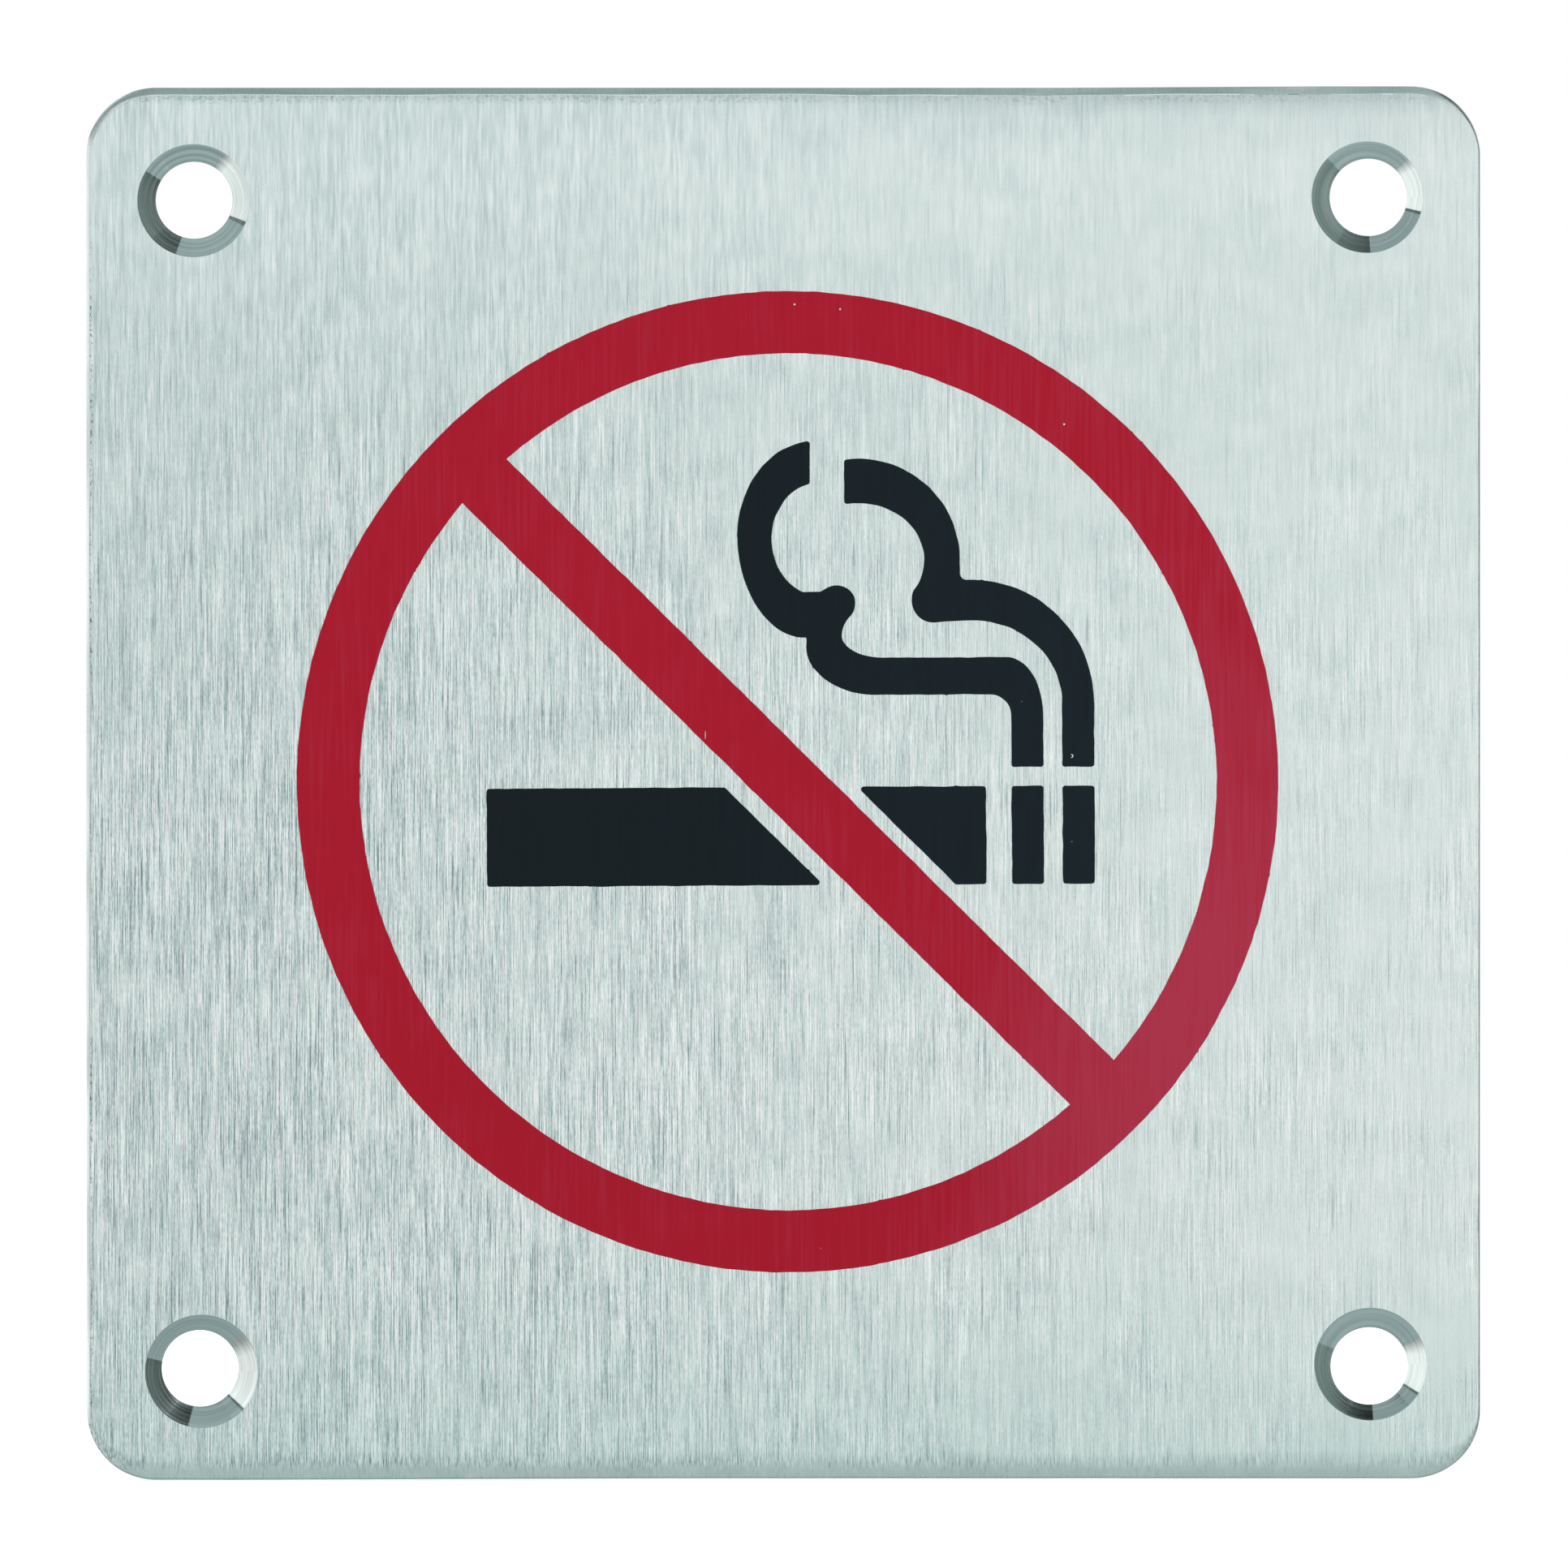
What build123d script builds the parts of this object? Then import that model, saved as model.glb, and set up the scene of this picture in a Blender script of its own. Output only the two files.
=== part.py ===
"""No-smoking sign: a square stainless plate with four countersunk screw holes, screen-printed in
red with a ring and slash, and in black with a cigarette and the two plumes of its smoke.

Millimetres. The back of the plate lies on y = 0 and its face looks towards -Y, so a reader stands
at -Y, with +X to the right and +Z up. The origin is the middle of the back.
"""
import os
from math import acos, asin, atan2, cos, degrees, radians, sin, sqrt, tan

from build123d import *

# Plate: blanked from sheet, its face brushed, its corners round
plate_width = 100.0
plate_height = 100.0
plate_thickness = 1.5
corner_radius = 5.0
rolled_edge = 0.5
back_edge_break = 0.1

# Screws: one countersunk hole in each corner
hole_inset = 8.0
hole_diameter = 5.5
countersink_diameter = 8.0
countersink_angle = 90.0

# Print: how thick the ink lies, and how far the screen sat out of true on the plate
ink_thickness = 0.05
print_shift_x = 0.3
print_shift_z = 0.1
print_turn = 0.3

# Ring and slash
ring_diameter = 70.35
ring_band = 4.4
slash_width = 4.4
slash_angle = 45.0

# Cigarette, placed from the middle of the ring: x to the right, z up
ink_corner = 0.2
cigarette_top = -0.38
cigarette_height = 7.05
mouth_end_x = -21.6
paper_end_x = 14.24
gap_below_slash = 1.25
gap_above_slash = 1.05
ember_bar_width = 2.3
ember_bar_count = 2
paper_gap = 1.83
ember_gap = 1.35

# Inner plume: a leg over the first bar, an elbow, a run to the left, and a hooked head on a neck
inner_rise = 7.9
inner_run_width = 2.67
inner_elbow_reach = 2.6
inner_elbow_drop = 4.17
inner_elbow_fillet = 1.54
inner_neck_x = 1.38
inner_neck_width = 2.58
inner_bend_reach = 5.13
inner_bend_rise = 3.5
inner_neck_flare = 3.03
inner_neck_radius = 1.92
inner_crease_rise = 1.46
inner_knob_radius = 1.34
inner_knob_rise = 3.88
inner_knob_inset = 0.37
inner_knob_slope = 28.8
inner_throat_drop = 0.45
inner_head_rise = 8.78
inner_head_reach = 4.88
inner_head_top_radius_x = 5.64
inner_head_top_radius_z = 6.81
inner_head_band = 2.45
inner_hollow_radius_x = 3.31
inner_hollow_radius_z = 4.01
inner_hollow_drop = 0.24
inner_tip_x = 1.71

# Outer plume: a leg over the last bar, a round shoulder, and a round head that ends beside the inner one
outer_rise = 13.46
outer_shoulder_radius = 8.8
outer_shoulder_width = 2.91
outer_neck_x = 12.44
outer_notch_fillet = 0.5
outer_head_rise = 1.47
outer_head_radius = 7.25
outer_head_width_side = 2.56
outer_head_width_top = 3.2
outer_hollow_radius = 3.55
outer_knob_radius = 1.58
outer_knob_inset = 1.9
tip_gap = 2.46

# Where things lie on the plate
front = Plane.XZ.offset(plate_thickness)
print_plane = Plane(
    origin=(print_shift_x, -plate_thickness, print_shift_z),
    x_dir=(cos(radians(print_turn)), 0, sin(radians(print_turn))),
    z_dir=(0, -1, 0),
)
hole_pitch_x = plate_width - 2 * hole_inset
hole_pitch_z = plate_height - 2 * hole_inset

# Where the smoke stands: each plume rises from its own ember bar, one gap above it
first_bar_x = paper_end_x + paper_gap
last_bar_x = first_bar_x + (ember_bar_count - 1) * (ember_bar_width + ember_gap)
smoke_foot = cigarette_top + ember_gap


with BuildPart() as plate:
    with BuildSketch(Plane.XZ):
        RectangleRounded(plate_width, plate_height, corner_radius)
    extrude(amount=plate_thickness)
    fillet(plate.faces().sort_by(Axis.Y)[0].edges(), radius=rolled_edge)
    chamfer(plate.faces().sort_by(Axis.Y)[-1].edges(), length=back_edge_break)
    with Locations(front):
        with GridLocations(hole_pitch_x, hole_pitch_z, 2, 2):
            CounterSinkHole(
                radius=hole_diameter / 2,
                counter_sink_radius=countersink_diameter / 2,
                counter_sink_angle=countersink_angle,
            )
plate.part.label = "plate"


with BuildPart() as ring_and_slash:
    with BuildSketch(print_plane):
        Circle(ring_diameter / 2)
        Circle(ring_diameter / 2 - ring_band, mode=Mode.SUBTRACT)
        Rectangle(ring_diameter - ring_band, slash_width, rotation=-slash_angle)
    extrude(amount=ink_thickness)
ring_and_slash.part.label = "ring_and_slash"


# The cigarette stops short of the slash on both sides, by a gap of its own on each
slash_opening = slash_width + gap_below_slash + gap_above_slash
opening_shift = (gap_above_slash - gap_below_slash) / 2
opening_middle = (
    opening_shift * sin(radians(slash_angle)),
    opening_shift * cos(radians(slash_angle)),
)

with BuildPart() as cigarette:
    with BuildSketch(print_plane) as cigarette_shape:
        with Locations((mouth_end_x, cigarette_top)):
            Rectangle(paper_end_x - mouth_end_x, cigarette_height, align=(Align.MIN, Align.MAX))
        with Locations(opening_middle):
            Rectangle(ring_diameter, slash_opening, rotation=-slash_angle, mode=Mode.SUBTRACT)
        for bar in range(ember_bar_count):
            with Locations((first_bar_x + bar * (ember_bar_width + ember_gap), cigarette_top)):
                Rectangle(ember_bar_width, cigarette_height, align=(Align.MIN, Align.MAX))
        fillet(cigarette_shape.vertices(), radius=ink_corner)
    extrude(amount=ink_thickness)
cigarette.part.label = "cigarette"


def rounded_ends(shape, foot, tip_x):
    """The square corners of a plume: the two at its foot and the two at its cut tip."""
    corners = shape.vertices().filter_by_position(Axis.Y, foot - ink_corner, foot + ink_corner)
    return corners + shape.vertices().filter_by_position(Axis.X, tip_x - 0.001, tip_x + 0.001)


# Inner plume: the levels and centres that its arcs are struck from
inner_leg_left = first_bar_x
inner_leg_right = first_bar_x + ember_bar_width
inner_run_top = smoke_foot + inner_rise
inner_run_bottom = inner_run_top - inner_run_width
inner_elbow_z = inner_run_top - inner_elbow_drop
inner_elbow_x = inner_leg_left - inner_elbow_fillet
inner_bend_z = inner_run_bottom + inner_bend_rise
inner_crease_z = inner_run_top + inner_crease_rise
inner_head_z = inner_run_top + inner_head_rise
inner_head_left = inner_neck_x - inner_head_reach
inner_head_x = inner_head_left + inner_head_top_radius_x

# The knob and the hollow of the neck under it touch at one point, on the line of their centres
inner_hollow_x = inner_neck_x + inner_neck_width + inner_neck_radius
inner_knob_x = inner_neck_x + inner_neck_width - inner_knob_inset
inner_knob_z = inner_run_top + inner_knob_rise
inner_hollow_z = inner_knob_z - sqrt(
    (inner_neck_radius + inner_knob_radius) ** 2 - (inner_hollow_x - inner_knob_x) ** 2
)
inner_touch = degrees(atan2(inner_knob_z - inner_hollow_z, inner_knob_x - inner_hollow_x))

# From the top of the knob the outline slopes down to the level throat of the head
inner_throat_z = inner_knob_z + inner_knob_radius - inner_throat_drop
inner_slope_run = (
    inner_knob_radius * cos(radians(inner_knob_slope)) + inner_knob_z - inner_throat_z
) / tan(radians(inner_knob_slope))
inner_throat_x = inner_knob_x - inner_knob_radius * sin(radians(inner_knob_slope)) - inner_slope_run

# The hollow inside the head, and where the throat and the cut tip meet it
inner_cup_x = inner_head_left + inner_head_band + inner_hollow_radius_x
inner_cup_z = inner_head_z - inner_hollow_drop
inner_cup_start = 180 - degrees(asin((inner_throat_z - inner_cup_z) / inner_hollow_radius_z))
inner_cup_end = degrees(acos((inner_tip_x - inner_cup_x) / inner_hollow_radius_x))
inner_tip_angle = degrees(acos((inner_tip_x - inner_head_x) / inner_head_top_radius_x))

# Outer plume: the same for its shoulder, its head and its knob
outer_leg_left = last_bar_x
outer_leg_right = last_bar_x + ember_bar_width
outer_top = smoke_foot + outer_rise
outer_shoulder_x = outer_leg_right - outer_shoulder_radius
outer_shoulder_z = outer_top - outer_shoulder_radius
outer_head_x = outer_neck_x - outer_head_radius
outer_head_z = outer_top + outer_head_rise
outer_cup_radius_x = outer_head_radius - outer_head_width_side
outer_cup_radius_z = outer_head_radius - outer_head_width_top
outer_tip_x = inner_tip_x + tip_gap
outer_crown_end = degrees(acos((outer_tip_x - outer_head_x) / outer_head_radius))
outer_cup_start = degrees(acos((outer_tip_x - outer_head_x) / outer_cup_radius_x))
outer_hollow_x = outer_head_x + outer_cup_radius_x - outer_hollow_radius
outer_knob_x = outer_neck_x - outer_knob_inset
outer_knob_z = outer_head_z - sqrt(
    (outer_hollow_radius + outer_knob_radius) ** 2 - (outer_knob_x - outer_hollow_x) ** 2
)
outer_touch = degrees(atan2(outer_knob_z - outer_head_z, outer_knob_x - outer_hollow_x))

with BuildPart() as smoke:
    with BuildSketch(print_plane) as inner_plume:
        with BuildLine():
            foot = Line((inner_leg_left, smoke_foot), (inner_leg_right, smoke_foot))
            leg = Line(foot @ 1, (inner_leg_right, inner_elbow_z))
            elbow = EllipticalCenterArc(
                (inner_leg_right - inner_elbow_reach, inner_elbow_z),
                inner_elbow_reach,
                inner_elbow_drop,
                start_angle=0,
                arc_size=90,
            )
            run = Line(elbow @ 1, (inner_neck_x + inner_neck_width + inner_neck_flare, inner_run_top))
            flare = EllipticalCenterArc(
                (inner_neck_x + inner_neck_width + inner_neck_flare, inner_hollow_z),
                inner_neck_flare,
                inner_hollow_z - inner_run_top,
                start_angle=270,
                arc_size=-90,
            )
            hollow = CenterArc(
                (inner_hollow_x, inner_hollow_z), inner_neck_radius, 180, inner_touch - 180
            )
            knob = CenterArc(
                (inner_knob_x, inner_knob_z),
                inner_knob_radius,
                inner_touch - 180,
                270 + inner_knob_slope - inner_touch,
            )
            slope = Line(knob @ 1, (inner_throat_x, inner_throat_z))
            cup = EllipticalCenterArc(
                (inner_cup_x, inner_cup_z),
                inner_hollow_radius_x,
                inner_hollow_radius_z,
                start_angle=inner_cup_start,
                arc_size=inner_cup_end - inner_cup_start,
            )
            throat = Line(slope @ 1, cup @ 0)
            crown = EllipticalCenterArc(
                (inner_head_x, inner_head_z),
                inner_head_top_radius_x,
                inner_head_top_radius_z,
                start_angle=inner_tip_angle,
                arc_size=180 - inner_tip_angle,
            )
            tip = Line(cup @ 1, crown @ 0)
            cheek = EllipticalCenterArc(
                (inner_neck_x, inner_head_z),
                inner_head_reach,
                inner_head_z - inner_crease_z,
                start_angle=180,
                arc_size=90,
            )
            neck = Line(cheek @ 1, (inner_neck_x, inner_bend_z))
            bend = EllipticalCenterArc(
                (inner_neck_x + inner_bend_reach, inner_bend_z),
                inner_bend_reach,
                inner_bend_rise,
                start_angle=180,
                arc_size=90,
            )
            underside = Line(bend @ 1, (inner_elbow_x, inner_run_bottom))
            crook = CenterArc(
                (inner_elbow_x, inner_run_bottom - inner_elbow_fillet), inner_elbow_fillet, 90, -90
            )
            Line(crook @ 1, foot @ 0)
        make_face()
        fillet(rounded_ends(inner_plume, smoke_foot, inner_tip_x), radius=ink_corner)
    extrude(amount=ink_thickness)

    with BuildSketch(print_plane) as outer_plume:
        with BuildLine():
            foot = Line((outer_leg_left, smoke_foot), (outer_leg_right, smoke_foot))
            leg = Line(foot @ 1, (outer_leg_right, outer_shoulder_z))
            shoulder = CenterArc((outer_shoulder_x, outer_shoulder_z), outer_shoulder_radius, 0, 90)
            ledge = Line(shoulder @ 1, (outer_neck_x + outer_notch_fillet, outer_top))
            notch = CenterArc(
                (outer_neck_x + outer_notch_fillet, outer_top + outer_notch_fillet),
                outer_notch_fillet,
                270,
                -90,
            )
            neck = Line(notch @ 1, (outer_neck_x, outer_head_z))
            crown = CenterArc(
                (outer_head_x, outer_head_z), outer_head_radius, 0, outer_crown_end
            )
            cup = EllipticalCenterArc(
                (outer_head_x, outer_head_z),
                outer_cup_radius_x,
                outer_cup_radius_z,
                start_angle=outer_cup_start,
                arc_size=-outer_cup_start,
            )
            tip = Line(crown @ 1, cup @ 0)
            hollow = CenterArc((outer_hollow_x, outer_head_z), outer_hollow_radius, 0, outer_touch)
            knob = CenterArc(
                (outer_knob_x, outer_knob_z), outer_knob_radius, outer_touch + 180, 90 - outer_touch
            )
            underside = Line(knob @ 1, (outer_shoulder_x, outer_top - outer_shoulder_width))
            armpit = EllipticalCenterArc(
                (outer_shoulder_x, outer_shoulder_z),
                outer_leg_left - outer_shoulder_x,
                outer_shoulder_radius - outer_shoulder_width,
                start_angle=90,
                arc_size=-90,
            )
            Line(armpit @ 1, foot @ 0)
        make_face()
        fillet(rounded_ends(outer_plume, smoke_foot, outer_tip_x), radius=ink_corner)
    extrude(amount=ink_thickness)
smoke.part.label = "smoke"


os.makedirs("parts", exist_ok=True)
export_step(plate.part, "parts/plate.step")
export_step(ring_and_slash.part, "parts/ring_and_slash.step")
export_step(cigarette.part, "parts/cigarette.step")
export_step(smoke.part, "parts/smoke.step")
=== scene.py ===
"""No-smoking sign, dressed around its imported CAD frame: a brushed stainless plate with rolled edges
and turned countersinks, and the red and black films of its screen print.

Sizes are in millimetres unless a class says otherwise, and MM turns them to metres. The
row frame is the CAD's: the plate's back lies on y = 0, its face looks towards -Y at y = -1.5 mm,
+X is the reader's right and +Z is up. A depth is measured back from the face.
"""

import logging
import math
from dataclasses import dataclass, field
from enum import Enum
from typing import Any, Iterable, Sequence

import bmesh
import bpy
import numpy as np
from mathutils.geometry import tessellate_polygon
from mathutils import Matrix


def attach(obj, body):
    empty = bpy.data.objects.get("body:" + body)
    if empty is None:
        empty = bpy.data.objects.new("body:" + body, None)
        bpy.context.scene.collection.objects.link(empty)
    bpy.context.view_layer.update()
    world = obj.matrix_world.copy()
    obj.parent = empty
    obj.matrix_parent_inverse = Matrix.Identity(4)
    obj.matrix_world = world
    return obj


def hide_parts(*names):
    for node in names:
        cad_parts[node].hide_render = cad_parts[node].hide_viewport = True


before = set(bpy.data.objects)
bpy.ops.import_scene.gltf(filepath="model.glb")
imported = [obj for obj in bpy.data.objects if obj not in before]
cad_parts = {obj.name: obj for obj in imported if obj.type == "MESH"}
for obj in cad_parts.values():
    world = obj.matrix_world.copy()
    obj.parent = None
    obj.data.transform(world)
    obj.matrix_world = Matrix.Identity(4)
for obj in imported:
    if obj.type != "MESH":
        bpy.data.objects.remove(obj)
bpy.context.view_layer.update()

MM = 0.001
FACE_Y = -1.5
PLATE_THICKNESS = 1.5
BRUSH_UV = "brush"
SHARP_ANGLE = 25.0

log = logging.getLogger("no_smoking_sign")

Tree = bpy.types.NodeTree
Node = bpy.types.Node
Source = Node | bpy.types.NodeSocket | float
Pairs = tuple[tuple[float, float], ...]


def linear(hex_colour: str) -> tuple[float, float, float, float]:
    """Turns an sRGB hex colour into linear RGBA.

    Args:
        hex_colour: The colour as "#RRGGBB".

    Returns:
        Red, green and blue in linear light, and an alpha of 1.
    """
    channels = [int(hex_colour[i : i + 2], 16) / 255 for i in (1, 3, 5)]
    red, green, blue = (
        c / 12.92 if c <= 0.04045 else ((c + 0.055) / 1.055) ** 2.4 for c in channels
    )
    return red, green, blue, 1.0


def add_node(
    tree: Tree, kind: str, inputs: dict[str | int, Any] | None = None, **settings: Any
) -> Node:
    """Adds one node to a tree, with its settings and links.

    Args:
        tree: The node tree it goes into.
        kind: The node's Blender type name, without its beginning, ShaderNode.
        inputs: What goes into each input, by name or number. A socket is linked, a node is linked
            by the first of its outputs in use, and anything else becomes the input's own value.
        settings: Properties of the node itself.

    Returns:
        The new node.
    """
    made = tree.nodes.new("ShaderNode" + kind)
    for name, value in settings.items():
        setattr(made, name, value)
    for key, value in (inputs or {}).items():
        if isinstance(value, Node):
            value = next(output for output in value.outputs if output.enabled)
        if isinstance(value, bpy.types.NodeSocket):
            tree.links.new(value, made.inputs[key])
        else:
            made.inputs[key].default_value = value
    return made


def new_object(name: str, data: bpy.types.ID) -> bpy.types.Object:
    """Makes an object and links it into the scene."""
    made = bpy.data.objects.new(name, data)
    bpy.context.scene.collection.objects.link(made)
    return made


def new_sheet(
    name: str, corners: Sequence[tuple[float, float, float]], material: bpy.types.Material
) -> bpy.types.Object:
    """Makes a flat sheet.

    Args:
        name: Its name.
        corners: Its four corners, in millimetres.
        material: Its material.

    Returns:
        The sheet.
    """
    mesh = bpy.data.meshes.new(name)
    mesh.from_pydata([[c * MM for c in p] for p in corners], [], [(0, 1, 2, 3)])
    mesh.materials.append(material)
    return new_object(name, mesh)


def new_material(name: str) -> tuple[bpy.types.Material, Tree]:
    """Makes a material with an empty node tree, and gives both."""
    material = bpy.data.materials.new(name)
    material.use_nodes = True
    material.node_tree.nodes.clear()
    return material, material.node_tree


def place_in_row(tree: Tree) -> Node:
    """Adds the node whose X, Y and Z are the place in the row frame, in metres."""
    place = add_node(tree, "TexCoord").outputs["Object"]
    return add_node(tree, "SeparateXYZ", {"Vector": place})


def summed(tree: Tree, start: Source, parts: Iterable[tuple[Source, Source]]) -> Source:
    """Adds products to a value.

    Args:
        tree: The node tree.
        start: The value to begin from.
        parts: The two factors of each product.

    Returns:
        start plus all the products.
    """
    for value, factor in parts:
        inputs = {0: value, 1: factor, 2: start}
        start = add_node(tree, "Math", inputs, operation="MULTIPLY_ADD")
    return start


def weighted(tree: Tree, start: Source, layers: Iterable[tuple[Source, Source]]) -> Source:
    """Adds noise layers to a value, each one about its own middle of 0.5.

    Args:
        tree: The node tree.
        start: The value to begin from.
        layers: Each layer's value and its weight.

    Returns:
        start plus the sum of (layer - 0.5) times weight.
    """
    parts = [
        (add_node(tree, "Math", {0: value, 1: 0.5}, operation="SUBTRACT"), weight)
        for value, weight in layers
    ]
    return summed(tree, start, parts)


def metal(tree: Tree, anisotropy: float) -> dict[str, Source]:
    """Gives the shader inputs of metal whose marks run with its brush directions."""
    tangent = add_node(tree, "Tangent", direction_type="UV_MAP", uv_map=BRUSH_UV)
    return {"Metallic": 1.0, "Anisotropic": anisotropy, "Tangent": tangent}


def finish_surface(
    tree: Tree,
    colour: Source,
    roughness: Source,
    relief: float,
    height: Source,
    more: dict[str, Source],
) -> None:
    """Ends a material with its relief, its shader and its output.

    Args:
        tree: The material's node tree.
        colour: The base colour.
        roughness: The roughness.
        relief: How high the relief stands where height is 1, in millimetres.
        height: The relief's height at each place.
        more: Other inputs of the shader, by name.
    """
    bump = {"Strength": 1.0, "Distance": relief * MM, "Height": height}
    bump = add_node(tree, "Bump", bump)
    inputs = {"Base Color": colour, "Roughness": roughness, "Normal": bump, **more}
    shader = add_node(tree, "BsdfPrincipled", inputs)
    add_node(tree, "OutputMaterial", {"Surface": shader})


class Surface(Enum):
    """The plate's kinds of surface, in the order of its material slots."""

    FACE = 0
    EDGE = 1
    COUNTERSINK = 2
    BACK = 3


class Coordinates(Enum):
    """Where a pattern is laid out: in the row frame, or along the piece's own brush directions."""

    ROW_FRAME = "Object"
    BRUSH = "UV"


@dataclass(frozen=True)
class Grain:
    """One layer of drawn-out noise: scratches or streaks of one size.

    width is across the scratches and length along them, both in millimetres.
    """

    width: float
    length: float
    seed: float
    detail: float = 0.0

    def add(self, tree: Tree, coordinates: Coordinates = Coordinates.ROW_FRAME) -> Node:
        """Adds the layer to a tree.

        Args:
            tree: The material's node tree.
            coordinates: In the row frame the scratches stand upright. Along the brush
                directions they run with the second UV axis.

        Returns:
            The noise, about 0.5 on average.
        """
        if coordinates is Coordinates.ROW_FRAME:
            source = add_node(tree, "TexCoord").outputs["Object"]
            scale = (1 / (self.width * MM), 1 / (self.width * MM), 1 / (self.length * MM))
        else:
            source = add_node(tree, "UVMap", uv_map=BRUSH_UV)
            scale = (1 / self.width, 1 / self.length, 1.0)
        shift = (self.seed, 0.0, self.seed)
        placed = {"Vector": source, "Scale": scale, "Location": shift}
        placed = add_node(tree, "Mapping", placed)
        noise = {"Vector": placed, "Scale": 1.0, "Detail": self.detail}
        return add_node(tree, "TexNoise", noise)


@dataclass(frozen=True)
class Fade:
    """A value that changes along one axis of the row frame.

    span is where the change begins and ends, in millimetres, and values are those before and
    after it. The change is smooth, or else even.
    """

    axis: str
    span: tuple[float, float]
    values: tuple[float, float] = (0.0, 1.0)
    smooth: bool = True

    def add(self, tree: Tree, place: Node) -> Node:
        """Adds the value to a tree, from the node that gives the place in the row frame."""
        start, end = self.span
        inputs = {"Value": place.outputs[self.axis], "From Min": start * MM, "From Max": end * MM}
        inputs["To Min"], inputs["To Max"] = self.values
        shape = "SMOOTHSTEP" if self.smooth else "LINEAR"
        return add_node(tree, "MapRange", inputs, interpolation_type=shape)


@dataclass(frozen=True)
class Threshold:
    """Turns a value into 0 below low and 1 above high, with an even rise between them."""

    low: float
    high: float

    def add(self, tree: Tree, value: Source) -> Node:
        """Adds the turned value to a tree."""
        inputs = {"Value": value, "From Min": self.low, "From Max": self.high}
        return add_node(tree, "MapRange", inputs)


@dataclass(frozen=True)
class Scuffs:
    """Dark bruises in a strip along one edge, from the blank's handling.

    axis is the axis across the strip, place is where the strip's middle lies on it, and reach is
    half its width, of which the share core is bruised in full. The strip wanders by sway. The
    edge was knocked only on the stretches that pass knocked, and there the grains that pass
    bruised are dark. strength says how dark at each place.
    """

    axis: str
    place: float
    reach: float
    wander: Grain
    sway: float
    bruises: Grain
    stretches: Grain
    knocked: Threshold = Threshold(0.4, 0.56)
    bruised: Threshold = Threshold(0.5, 0.66)
    strength: Fade = Fade("X", (-20, 20), (1.0, 1.0))
    core: float = 0.3

    def add(self, tree: Tree, place: Node) -> Source:
        """Adds the scuffs to a tree.

        Args:
            tree: The material's node tree.
            place: The node that gives the place in the row frame.

        Returns:
            How bruised the metal is, from 0 to 1.
        """
        sway = (self.wander.add(tree), self.sway * MM)
        line = weighted(tree, place.outputs[self.axis], [sway])
        away = {0: line, 1: self.place * MM}
        away = add_node(tree, "Math", away, operation="SUBTRACT")
        away = add_node(tree, "Math", {0: away}, operation="ABSOLUTE")
        outside = Threshold(self.core * self.reach * MM, self.reach * MM).add(tree, away)
        inside = add_node(tree, "Math", {0: 1.0, 1: outside}, operation="SUBTRACT")
        where = self.knocked.add(tree, self.stretches.add(tree))
        grains = self.bruised.add(tree, self.bruises.add(tree))
        share = self.strength.add(tree, place)
        for factor in (inside, where, grains):
            share = add_node(tree, "Math", {0: share, 1: factor}, operation="MULTIPLY")
        return share


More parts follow.
